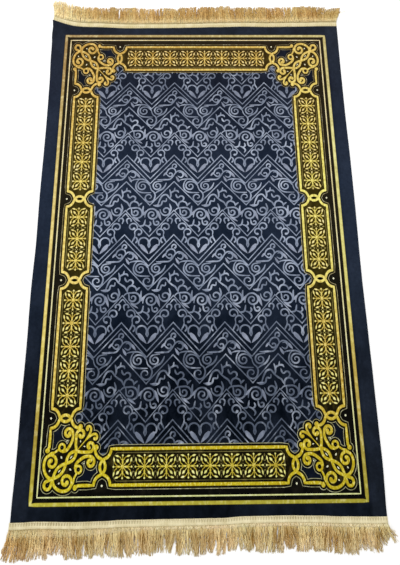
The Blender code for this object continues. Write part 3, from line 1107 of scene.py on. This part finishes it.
# Curls in pairs under the last line, and the cap between them
pairedScrolls = (
    ([(6.1, -162), (3.6, -155)], (8.9, -154.4), -0.55, 4.6, 2.1),
    ([(28, -175), (26.5, -167)], (17.4, -170), 0.82, 4.4, 2.7),
    ([(22.6, -188), (22, -181)], (30.7, -182.2), -0.72, 4.8, 2.6),
)
cap = (([(-7, -147.5), (-3.5, -143), (1.5, -139), (5, -143), (8, -147)],),)
# A hook at the side of a heart
hookStem = (([(22.6, 3), (21.8, -3), (19, -8), (16.5, -13.5)],),)
hookTip = [(22.2, -1), (26.5, -4), (28, -9.5), (25.2, -14)]


def curls(half, rows):
    return [scroll(points, half, *spiral, start=0.5, end=0.5, hold=1.15) for points, *spiral in rows]


def fieldStrokes():
    # Lines and leaves of one repeat, with y below 0 towards the near end
    thin, thick, heart = field["lineHalf"], field["thickHalf"], field["across"] / 2
    paired = curls(thin, pairedScrolls)
    lobe = [(0, -26), (2, -20.5), *arcPoints((11.8, -13.8), 10.8, 190, -35, 12)]
    lobes = [stroke(smoothPath(lobe), thin, start=0.4, taper=0.15)]
    fills = [leaf((0.7, -40), (17, -20.8), 4.3, 0.5, 0.7)]
    hook = curls(thin, hookStem) + [scroll(hookTip, thin, ball=1.7, start=0.5)]
    lines = curls(thin, fineScrolls) + curls(thick, branch) + curls(thick, leafyScrolls)
    lines += paired + flipped(paired) + curls(1.3, cap)
    lines += moved(lobes + flipped(lobes), heart) + hook + moved(flipped(hook), field["across"])
    leaves = [leaf(*row) for row in fineLeaves + leafyLeaves]
    return lines, leaves + moved(fills + flipped(fills), heart)


def trimmed(bm):
    # Cut off where the border covers the field
    for axis, reach in ((Vector((1, 0, 0)), field["edgeX"]), (Vector((0, 1, 0)), field["edgeY"])):
        for way in (axis, -axis):
            bisect(bm, way * reach, way, clear_outer=True)
    return bm


def repeated(bm):
    # The repeat laid over the whole field
    tile = fromMesh("repeat", bm, smooth=False)
    for offset in ((field["across"], 0.0, 0.0), (0.0, -field["along"], 0.0)):
        array = tile.modifiers.new("array", "ARRAY")
        array.count = field["repeats"]
        array.use_relative_offset = False
        array.use_constant_offset = True
        array.constant_offset_displace = offset
    out = taken(tile)
    shift = (field["peakX"] - 2 * field["across"], field["peakY"] + field["along"], 0.0)
    bmesh.ops.translate(out, vec=shift, verts=out.verts)
    return trimmed(out)


def makeField():
    zigzags = []
    for row in range(field["repeats"]):
        for peak, valley, half in field["lines"]:
            path = []
            for step in range(2 * field["repeats"] + 1):
                x = field["peakX"] + (step / 2 - 2.5) * field["across"]
                y = field["peakY"] + field["along"] * (1 - row) - (peak if step % 2 else valley)
                path.append((x, y))
            zigzags.append(stroke(path, half))
    layOnRug("fieldZigzags", "field", "silverPile", [trimmed(strokeMesh(zigzags, "flat"))])
    lines, leaves = fieldStrokes()
    layOnRug("fieldScrolls", "field", "silverPile", [repeated(strokeMesh(lines, "flat"))])
    layOnRug("fieldLeaves", "field", "brightSilverPile", [repeated(strokeMesh(leaves, "flat"))])


makeField()
for section in sections.values():
    bpy.data.objects.remove(section)
print("print laid")

# The velvet itself

sheetLook = {
    "columns": 100,
    "rows": 157,
    "hem": 0.0011,
    # small waves of the bare margin: their height, how close they are, and where they start
    "ripple": 0.0004,
    "rippleSize": 22,
    "rippleFrom": (0.322, 0.529),
    "rippleReach": 0.02,
}


def makeVelvetSheet():
    look = sheetLook
    width, length, thickness = rugShape["width"], rugShape["length"], rugShape["thickness"]
    bm = bmesh.new()
    bmesh.ops.create_grid(bm, x_segments=look["columns"], y_segments=look["rows"], size=0.5)
    bmesh.ops.scale(bm, vec=(width, length, 1.0), verts=bm.verts)
    raised = bmesh.ops.extrude_face_region(bm, geom=bm.faces[:])["geom"]
    top = [item for item in raised if isinstance(item, bmesh.types.BMVert)]
    bmesh.ops.translate(bm, vec=(0.0, 0.0, thickness), verts=top)
    bmesh.ops.recalc_face_normals(bm, faces=bm.faces)
    # The sheet's right-angled edges, without the short upright ones at its four corners
    corners = [edge for edge in bm.edges if edge.calc_face_angle() > 1.0]
    rim = [edge for edge in corners if abs(edge.verts[0].co.z - edge.verts[1].co.z) < thickness / 2]
    bmesh.ops.bevel(bm, geom=rim, offset=look["hem"], segments=3, profile=0.5, affect="EDGES", material=-1)
    for face in bm.faces:
        face.material_index = 1 if face.normal.z < -0.5 else 0
    for vert in bm.verts:
        x, y = vert.co.x, vert.co.y
        across, along = 2 * x / width, 2 * y / length
        side = outline["leftSide"] if x < 0 else outline["rightSide"]
        end = outline["nearEnd"] if y < 0 else outline["farEnd"]
        if vert.co.z > thickness * 0.6:
            fromX, fromY = look["rippleFrom"]
            share = min(1.0, max(abs(x) - fromX, abs(y) - fromY, 0.0) / look["rippleReach"])
            wave = noise.noise(Vector((x * look["rippleSize"], y * look["rippleSize"], 0.0)))
            vert.co.z += look["ripple"] * share * wave
        x += eased(side, y) * across * abs(across)
        y += eased(end, vert.co.x) * along * abs(along) ** 3
        vert.co = toRow(x, y, vert.co.z + curl(x, y))
    made = addPiece("rugVelvet", bm, makeVelvet(), makeBacking())
    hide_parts("rug_body")
    return made


rugVelvet = makeVelvetSheet()

# The two fringe trims. Tips: place across the rug, and how far out the yarn reaches there.

trims = (
    {
        "name": "Near", "node": "fringe_near", "end": -1, "left": -0.3530, "right": 0.3515,
        "splayLeft": 0.0095, "splayRight": 0.0130, "ragged": 0.0085, "seed": 11,
        "draw": 0.85, "paintedLightLeft": 0.0, "tipHalf": (0.0008, 0.0034),
        "tips": (
            (-0.345, 0.0710), (-0.300, 0.0675), (-0.225, 0.0685), (-0.150, 0.0660),
            (-0.085, 0.0630), (0.0, 0.0655), (0.070, 0.0630), (0.140, 0.0615), (0.200, 0.0610),
            (0.260, 0.0650), (0.305, 0.0655), (0.325, 0.0625), (0.350, 0.0500),
        ),
    },
    {
        "name": "Far", "node": "fringe_far", "end": 1, "left": -0.3455, "right": 0.3515,
        "splayLeft": 0.0080, "splayRight": 0.0165, "ragged": 0.0045, "seed": 23,
        # the yarn at the left end made paler with painted light, where the corner is lifted
        "draw": 0.3, "paintedLightLeft": 1.5, "tipHalf": (0.0020, 0.0034),
        "tips": (
            (-0.345, 0.0720), (-0.325, 0.0760), (-0.300, 0.0680), (-0.260, 0.0640), (-0.220, 0.0650),
            (-0.140, 0.0625), (-0.050, 0.0630), (0.0, 0.0655), (0.080, 0.0680), (0.150, 0.0655),
            (0.220, 0.0650), (0.285, 0.0690), (0.335, 0.0640),
        ),
    },
)

heading = {
    "gap": 0.0003,
    "width": 0.020,
    "droop": 0.15,
    "tipDroop": 0.25,
    "ribPitch": 0.0050,
    "ribHeight": 0.0004,
    # the row of dark ticks: where it lies, and how it fades in and out along the trim
    "ticks": (0.0018, 0.0066),
    "tickFade": {"middle": 0.5, "most": 0.9, "size": 9, "row": 5.0},
    # faint painted shade in the rib valleys outside the row of ticks
    "faintGrooveShade": 0.06,
    "wobble": {"most": 0.0003, "size": 60, "row": 3.0},
    # out from the rug's end, and high
    "section": (
        (0.0, 0.0012), (0.0005, 0.0024), (0.0014, 0.0029), (0.0022, 0.0026), (0.0062, 0.0026),
        (0.0070, 0.0029), (0.0100, 0.0029), (0.0118, 0.0024), (0.0150, 0.0022), (0.0188, 0.0018),
        (0.0200, 0.0010),
    ),
    "underside": 0.0002,
    # rows of stitches: out from the rug's end, high, from one to the next, and half as long
    "stitches": ((0.0016, 0.0027, 0.0042, 0.0011), (0.0124, 0.0032, 0.0034, 0.0009)),
    "stitchMargin": 0.003,
    "stitchShift": 0.0003,
    "stitchRadii": (0.00035, 0.00025),
    "stitchTurn": (0.2, 0.6),
}

# Braid: its two tones, what wears it, and the grooves, dark ticks and elsewhere faint painted shade. Yarn:
# its darkest and lightest, root to tip; the darkest is partly painted shade.
fringeLook = {
    "braidNear": {
        "tones": ((204, 194, 158), (230, 222, 190)), "worn": (238, 232, 216), "groove": (122, 108, 68),
    },
    "braidFar": {
        "tones": ((202, 190, 148), (220, 210, 178)), "worn": (236, 232, 218), "groove": (170, 152, 104),
    },
    "stitchThread": {
        "tones": ((176, 156, 106), (206, 190, 142)), "worn": (200, 190, 160), "groove": (110, 92, 54),
    },
    "yarnNear": {
        "dark": (
            (0.0, (192, 178, 134)), (0.16, (188, 168, 116)), (0.3, (170, 136, 72)), (0.55, (158, 120, 56)),
            (0.85, (180, 148, 90)), (1.0, (216, 196, 156)),
        ),
        "light": (
            (0.0, (240, 234, 204)), (0.22, (244, 234, 196)), (0.5, (248, 232, 186)), (1.0, (252, 244, 220)),
        ),
        "pale": (246, 240, 214),
        "corner": (250, 222, 184),
    },
    "yarnFar": {
        "dark": (
            (0.0, (206, 192, 150)), (0.3, (180, 148, 92)), (0.6, (170, 132, 76)), (1.0, (178, 146, 96)),
        ),
        "light": (
            (0.0, (240, 234, 208)), (0.3, (222, 200, 150)), (0.6, (214, 186, 130)), (1.0, (216, 194, 146)),
        ),
        "pale": (242, 236, 200),
    },
    "gathersNear": {
        "dark": (
            (0.0, (202, 188, 146)), (0.7, (204, 190, 150)), (0.85, (240, 230, 200)), (1.0, (242, 232, 204)),
        ),
        "light": ((0.0, (246, 240, 220)), (1.0, (246, 238, 214))),
        "pale": (246, 240, 214),
    },
    "gathersFar": {
        "dark": ((0.0, (222, 208, 166)), (1.0, (200, 172, 118))),
        "light": ((0.0, (240, 234, 208)), (1.0, (230, 208, 158))),
        "pale": (238, 232, 202),
    },
    # multiplied in, in wide patches
    "warm": ((255, 240, 220), (246, 246, 226)),
}
braidCloth = {"roughness": 0.8, "ribs": 1300.0, "picks": 2200.0, "wearSize": 60.0, "bump": 0.5}
yarnCloth = {
    "roughness": 0.75,
    "speckSize": 160.0,
    "speck": 0.35,
    "warmSize": 16.0,
    # how far across the rug the left corner's tone reaches, and its share there
    "cornerReach": 0.08,
    "cornerShare": 0.5,
}


def makeBraid(name):
    look = fringeLook[name]
    material, tree = newMaterial(name, braidCloth["roughness"])
    nap = napOn(tree, braidCloth["wearSize"])
    colour = mix(tree, nap["Brush"], *[rgba(tone) for tone in look["tones"]])
    colour = mix(tree, nap["Speck"], colour, rgba(look["worn"]), "MULTIPLY")
    # the groove mask: the dark ticks, and faint painted shade in the other rib valleys
    colour = mix(tree, maskOn(tree, "groove"), colour, rgba(look["groove"]))
    weave = weaveOn(tree, braidCloth["ribs"], braidCloth["picks"])
    return dress(material, colour, weave, braidCloth["bump"])


def makeYarnMaterial(name):
    # From the dark ramp, partly painted shade, to the light one as tint goes from 0 to 1, then on to pale
    # at 2
    look = fringeLook[name]
    material, tree = newMaterial(name, yarnCloth["roughness"])
    along, tint = maskOn(tree, "along"), maskOn(tree, "tint")
    colour = mix(tree, tint, ramp(tree, along, look["dark"]), ramp(tree, along, look["light"]))
    colour = mix(tree, spread(tree, tint, 1.0, 2.0), colour, rgba(look["pale"]))
    if "corner" in look:
        atLeft = spread(tree, overRug(tree, "X"), yarnCloth["cornerReach"], 0.0, yarnCloth["cornerShare"])
        colour = mix(tree, atLeft, colour, rgba(look["corner"]), "MULTIPLY")
    speck = napOn(tree, yarnCloth["speckSize"])["Speck"]
    colour = mix(tree, yarnCloth["speck"], colour, speck, "OVERLAY")
    patches = napOn(tree, yarnCloth["warmSize"])["Brush"]
    warmth = mix(tree, patches, *[rgba(tone) for tone in fringeLook["warm"]])
    return dress(material, mix(tree, 1.0, colour, warmth, "MULTIPLY"))


def addTrimPiece(name, bm, material, node=None):
    made = addPiece(name, bm, material)
    if node:
        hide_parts(node)


def liftAt(x, edge, out):
    # How far the curled corner lifts the heading, drooping outwards
    return curl(x, edge) * (1.0 - heading["droop"] * out / heading["width"])


def makeHeading(trim):
    # A ribbed braid: a bar with the section's corners, moved along the end of the rug
    section = heading["section"]
    corners = (*section, (heading["width"], heading["underside"]), (0.0, heading["underside"]))
    width, end = trim["right"] - trim["left"], trim["end"]
    fade, sway = heading["tickFade"], heading["wobble"]
    stops = 2 * round(width / heading["ribPitch"])
    bm = bmesh.new()
    bar = {"cap_ends": True, "segments": len(corners), "radius1": 1.0, "radius2": 1.0, "depth": 1.0}
    bmesh.ops.create_cone(bm, matrix=Matrix.Rotation(math.pi / 2, 4, "Y"), **bar)
    longEdges = [edge for edge in bm.edges if abs(edge.verts[0].co.x - edge.verts[1].co.x) > 0.5]
    bmesh.ops.subdivide_edges(bm, edges=longEdges, cuts=stops - 1)
    turn = 2 * math.pi / len(corners)
    groove = bm.verts.layers.float.new("groove")
    for vert in bm.verts:
        stop = round((vert.co.x + 0.5) * stops)
        corner = round(math.atan2(vert.co.z, vert.co.y) / turn) % len(corners)
        out, high = corners[corner]
        x = trim["left"] + width * stop / stops
        edge = endEdge(end, x)
        valley = stop % 2 == 1
        if valley and 0 < corner < len(section) - 1:
            high -= heading["ribHeight"]
        # outside the row of ticks the valleys take faint painted shade
        dark = heading["faintGrooveShade"]
        if heading["ticks"][0] < out < heading["ticks"][1]:
            drift = noise.noise(Vector((x * fade["size"], end * fade["row"], 0.0)))
            dark = max(0.0, min(1.0, fade["middle"] + fade["most"] * drift))
        vert[groove] = dark if valley else 0.0
        wobble = sway["most"] * noise.noise(Vector((x * sway["size"], end * sway["row"], 0.0)))
        vert.co = toRow(x, edge + end * (heading["gap"] + out + wobble), high + liftAt(x, edge, out))
    bmesh.ops.recalc_face_normals(bm, faces=bm.faces)
    addTrimPiece("heading" + trim["name"], bm, makeBraid("braid" + trim["name"]), trim["node"])


def makeStitches(trim):
    # Short stitches along the inner edge of the braid and over the roots of the yarn
    bm = bmesh.new()
    rng = random.Random(trim["seed"] + 5)
    margin, shift = heading["stitchMargin"], heading["stitchShift"]
    thick, thin = heading["stitchRadii"]
    for out, high, pitch, half in heading["stitches"]:
        for number in range(int((trim["right"] - trim["left"] - 2 * margin) / pitch)):
            x = trim["left"] + margin + number * pitch + rng.uniform(-shift, shift)
            edge = endEdge(trim["end"], x)
            place = toRow(x, edge + trim["end"] * (heading["gap"] + out), high + liftAt(x, edge, out))
            shape = {"cap_ends": True, "segments": 5, "radius1": thick, "radius2": thin, "depth": half * 2}
            made = bmesh.ops.create_cone(bm, **shape)["verts"]
            bmesh.ops.rotate(bm, verts=made, matrix=Matrix.Rotation(math.pi / 2, 3, "X"))
            turn = rng.uniform(*heading["stitchTurn"])
            bmesh.ops.rotate(bm, verts=made, matrix=Matrix.Rotation(turn, 3, "Z"))
            bmesh.ops.translate(bm, verts=made, vec=place)
    addTrimPiece("stitches" + trim["name"], bm, makeBraid("stitchThread"))


# How many locks a trim has, how neighbours are drawn together, and how they sway and splay
locks = {
    "count": 140,
    "tufts": (1, 1, 2, 2, 3, 4),
    "notch": (1.2, 3.0),
    "tuftTone": (-0.35, 0.25),
    "lockTone": 0.1,
    "lockRagged": 0.4,
    "narrows": (1.0, 3.0),
    "sway": 0.0030,
    # share and scale of each wave of the sway along the trim
    "swayWaves": ((1.0, 61), (0.7, 137), (0.5, 263)),
    "splayReach": 0.060,
    # how far from a trim's left end the painted light on the yarn reaches
    "paintedLightReach": 0.115,
}

yarn = {
    # the lowest layer takes the dark ramp, as painted shade under the lighter strands above it
    "layers": (
        {
            "count": 9, "radius": 0.00060, "high": (0.0, 0.0008),
            "wave": 0.0008, "lean": 0.0006, "tint": (0.05, 0.12),
        },
        {
            "count": 6, "radius": 0.00085, "high": (0.0010, 0.0026),
            "wave": 0.0020, "lean": 0.0018, "tint": (0.60, 0.26),
        },
        {
            "count": 5, "radius": 0.00042, "high": (0.0015, 0.0035),
            "wave": 0.0028, "lean": 0.0024, "tint": (0.75, 0.30),
        },
    ),
    "uneven": (0.85, 1.15),
    "steps": 7,
    "section": ((-0.87, -0.5), (0.87, -0.5), (0.0, 1.0)),
    "rootOut": 0.0118,
    "rootShift": (-0.0003, 0.0012),
    "rootHigh": 0.0024,
    "rootHalf": 0.0022,
    "rootTaper": 0.25,
    "taper": 0.35,
    "shortest": 0.015,
    "shortPower": 1.8,
    "leanPower": 1.4,
    "turns": ((0.5, 1.3), (1.8, 3.2)),
    "lockWave": 0.0014,
    "lockTurn": 7.0,
    "calmTip": 0.35,
    "frizz": 0.0008,
    "flyaways": 0.10,
    "flyawayTimes": 3.0,
    # where it comes down to the floor: start and length as shares of the yarn
    "fall": (0.16, 0.34),
    "arch": (0.2, 0.8, 1.15),
}

# Short threads that cross over the roots of the yarn
gather = {
    "count": 9,
    "radius": 0.00045,
    "steps": 3,
    "long": (0.0060, 0.0130),
    "uneven": (0.85, 1.1),
    "shift": 0.0025,
    "slant": 0.0045,
    "slants": (0.2, 1.0),
    "inset": 0.0004,
    "above": 0.0002,
    "arch": (0.0018, 0.7),
    "wave": (0.0005, 9.0),
    # longest left of here on the near trim, and how far it takes to get there
    "longFrom": (-0.10, 0.15),
    # how much narrower and lower the tones are where they are darkest
    "narrower": 0.5,
    "lower": 0.3,
}


def lockLeans(trim, roots):
    rng = random.Random(trim["seed"])
    phases = [rng.uniform(0.0, 2 * math.pi) for _ in locks["swayWaves"]]
    leans = []
    for root in roots:
        fromLeft = max(0.0, 1.0 - (root - trim["left"]) / locks["splayReach"])
        fromRight = max(0.0, 1.0 - (trim["right"] - root) / locks["splayReach"])
        waves = zip(locks["swayWaves"], phases)
        sway = locks["sway"] * sum(share * math.sin(root * size + phase) for (share, size), phase in waves)
        calm = 1.0 - max(fromLeft, fromRight)
        leans.append(sway * calm - trim["splayLeft"] * fromLeft + trim["splayRight"] * fromRight)
    return leans


def makeLocks(trim, rng):
    # Neighbouring locks are drawn together by their tips into tufts of uneven size and length
    pitch = (trim["right"] - trim["left"]) / locks["count"]
    roots = [trim["left"] + pitch * (number + 0.5) for number in range(locks["count"])]
    leans = lockLeans(trim, roots)
    made = []
    while len(made) < len(roots):
        first = len(made)
        tuft = roots[first : first + rng.choice(locks["tufts"])]
        middle = sum(tuft) / len(tuft)
        draw = trim["draw"] * rng.random()
        notch = rng.uniform(*locks["notch"])
        tone = rng.uniform(*locks["tuftTone"])
        shorter = trim["ragged"] * rng.random() ** 2
        for root, lean in zip(tuft, leans[first:]):
            reach = rugShape["length"] / 2 + eased(trim["tips"], root) - shorter
            lock = {"root": root, "lean": lean, "pull": (middle - root) * draw, "notch": notch}
            lock["tip"] = trim["end"] * (reach - locks["lockRagged"] * trim["ragged"] * rng.random())
            lock["tipHalf"] = rng.uniform(*trim["tipHalf"])
            lock["narrows"] = rng.uniform(*locks["narrows"])
            lock["tint"] = tone + rng.uniform(-locks["lockTone"], locks["lockTone"])
            lock["phase"] = rng.uniform(0.0, 2 * math.pi)
            made.append(lock)
    return made


def yarnPath(trim, rng, lock, layer):
    # One yarn from the braid's outer rib down to its tip on the floor
    root = lock["root"]
    side = rng.uniform(-1.0, 1.0)
    edge = endEdge(trim["end"], root)
    startY = edge + trim["end"] * (heading["gap"] + yarn["rootOut"] + rng.uniform(*yarn["rootShift"]))
    tipY = lock["tip"] - trim["end"] * yarn["shortest"] * rng.random() ** yarn["shortPower"]
    lift = liftAt(root, edge, heading["width"])
    phases = [rng.uniform(0.0, 2 * math.pi) for _ in yarn["turns"]]
    turns = [2 * math.pi * rng.uniform(*span) for span in yarn["turns"]]
    loose = yarn["flyawayTimes"] if rng.random() < yarn["flyaways"] else 1.0
    lean = lock["lean"] + rng.gauss(0.0, layer["lean"] * loose)
    high = rng.uniform(*layer["high"])
    fallFrom, fallLong = yarn["fall"]
    archLow, archHigh, archEnd = yarn["arch"]
    path = []
    for step in range(yarn["steps"] + 1):
        along = step / yarn["steps"]
        bow = along * (1.0 - yarn["calmTip"] * along)
        half = yarn["rootHalf"] + (lock["tipHalf"] - yarn["rootHalf"]) * along ** lock["narrows"]
        x = root + side * half + lean * along ** yarn["leanPower"] + lock["pull"] * along ** lock["notch"]
        x += yarn["lockWave"] * math.sin(lock["phase"] + yarn["lockTurn"] * along) * bow
        x += layer["wave"] * loose * math.sin(phases[0] + turns[0] * along) * bow
        x += yarn["frizz"] * math.sin(phases[1] + turns[1] * along) * min(1.0, 3 * along)
        y = startY + (tipY - startY) * along
        fall = min(1.0, max(0.0, (along - fallFrom) / fallLong))
        fall = 1.0 - fall * fall * (3.0 - 2.0 * fall)
        z = lift * (1.0 - heading["tipDroop"] * along) + layer["radius"]
        z += (yarn["rootHigh"] - layer["radius"]) * fall
        z += high * (archLow + archHigh * math.sin(math.pi * min(1.0, along * archEnd)))
        path.append(toRow(x, y, z))
    return path


def gatherSpread(trim, root):
    # Near the left end of the near trim the gathers are longest, and darker than the yarn
    start, reach = gather["longFrom"]
    return min(1.0, max(0.0, (start - root) / reach)) if trim["end"] < 0 else 0.5


def gatherPath(trim, rng, lock):
    x = lock["root"] + rng.uniform(-gather["shift"], gather["shift"])
    slant = rng.choice((-1, 1)) * rng.uniform(*gather["slants"]) * gather["slant"]
    edge = endEdge(trim["end"], lock["root"])
    lift = liftAt(lock["root"], edge, heading["width"])
    least, most = gather["long"]
    long = (least + (most - least) * gatherSpread(trim, lock["root"])) * rng.uniform(*gather["uneven"])
    archHigh, archEnd = gather["arch"]
    waveWide, waveTurn = gather["wave"]
    path = []
    for step in range(gather["steps"] + 1):
        along = step / gather["steps"]
        out = heading["gap"] + yarn["rootOut"] - gather["inset"] + long * along
        high = yarn["rootHigh"] + gather["above"] + archHigh * math.sin(math.pi * archEnd * along)
        wave = waveWide * math.sin(lock["phase"] + waveTurn * along)
        rise = high + lift * (1.0 - heading["tipDroop"] * along)
        path.append(toRow(x + slant * along + wave, edge + trim["end"] * out, rise))
    return path


def yarnMesh(strands):
    # Strands of (path, radius, tint), all with as many points. They give the mesh two attributes:
    # tint, and along, from 0 at the roots to 1 at the tips.
    rings = len(strands[0][0])
    shares = [yarn["rootTaper"]] + [1.0 - yarn["taper"] * number / rings for number in range(1, rings)]
    lines = [(path, [radius * share for share in shares], False) for path, radius, tone in strands]
    section = makeSection("yarnSection", yarn["section"])
    bm = taken(makeCurve("yarn", lines, dimensions="3D", bevel_mode="OBJECT", bevel_object=section))
    bpy.data.objects.remove(section)
    # The rings of three corners come yarn by yarn, from root to tip
    along = bm.verts.layers.float.new("along")
    tint = bm.verts.layers.float.new("tint")
    for number, vert in enumerate(bm.verts):
        vert[along] = (number // 3 % rings) / (rings - 1)
        vert[tint] = strands[number // 3 // rings][2]
    bmesh.ops.holes_fill(bm, edges=bm.edges, sides=3)
    return bm


def makeYarn(trim):
    rng = random.Random(trim["seed"] + 1)
    fine = random.Random(trim["seed"] + 2)
    made = {"yarn": [], "gathers": []}
    for lock in makeLocks(trim, rng):
        # painted light: yarn and gathers paler towards the trim's left end
        paintedLight = trim["paintedLightLeft"] * max(0.0, 1.0 - (lock["root"] - trim["left"]) / locks["paintedLightReach"])
        for layer in yarn["layers"]:
            for _ in range(layer["count"]):
                path = yarnPath(trim, fine, lock, layer)
                tone = lock["tint"] + paintedLight + fine.gauss(*layer["tint"])
                radius = layer["radius"] * fine.uniform(*yarn["uneven"])
                made["yarn"].append((path, radius, min(2.0, max(0.0, tone))))
        darker = gatherSpread(trim, lock["root"])
        for _ in range(gather["count"]):
            tone = fine.uniform(0.0, 1.0) * (1.0 - gather["narrower"] * darker)
            tone += gather["lower"] * (1.0 - darker) + paintedLight
            made["gathers"].append((gatherPath(trim, fine, lock), gather["radius"], tone))
    for kind, strands in made.items():
        name = kind + trim["name"]
        addTrimPiece(name, yarnMesh(strands), makeYarnMaterial(name))


for trim in trims:
    makeHeading(trim)
    makeStitches(trim)
    makeYarn(trim)
print("fringe made")

# Floor, light and camera

studio = {
    "floor": (240, 240, 240),
    "floorRoughness": 0.9,
    "floorSize": 5.0,
    "skyStrength": 0.85,
    "keyPower": 60.0,
    "keyPlace": (-0.6, 1.6, 2.4),
    "keySize": 2.2,
}

camera = {
    "place": (-0.0048, -0.2855, 0.8184),
    "turn": (12.87, -0.54, -0.53),
    "lens": 25.20,
    "nearest": 0.01,
}


def makeFloor():
    bm = bmesh.new()
    bmesh.ops.create_grid(bm, x_segments=1, y_segments=1, size=studio["floorSize"])
    material, tree = newMaterial("paleFloor", studio["floorRoughness"])
    tree.nodes["Principled BSDF"].inputs["Base Color"].default_value = rgba(studio["floor"])
    fromMesh("floor", bm, material, smooth=False)


def makeLight():
    world = bpy.data.worlds.new("studio")
    bpy.context.scene.world = world
    world.use_nodes = True
    sky = world.node_tree.nodes["Background"]
    sky.inputs["Color"].default_value = (1.0, 1.0, 1.0, 1.0)
    sky.inputs["Strength"].default_value = studio["skyStrength"]
    lamp = bpy.data.lights.new("key", "AREA")
    lamp.energy = studio["keyPower"]
    lamp.size = studio["keySize"]
    made = linked("key", lamp)
    made.location = studio["keyPlace"]
    made.rotation_euler = (-Vector(studio["keyPlace"])).to_track_quat("-Z", "Y").to_euler()


def makeCamera():
    data = bpy.data.cameras.new("camera")
    data.lens = camera["lens"]
    data.clip_start = camera["nearest"]
    made = linked("camera", data)
    made.location = toRow(*camera["place"])
    made.rotation_euler = [math.radians(angle) for angle in camera["turn"]]
    bpy.context.scene.camera = made


makeFloor()
makeLight()
makeCamera()
bpy.context.scene.view_settings.view_transform = "Standard"

print("stage set")
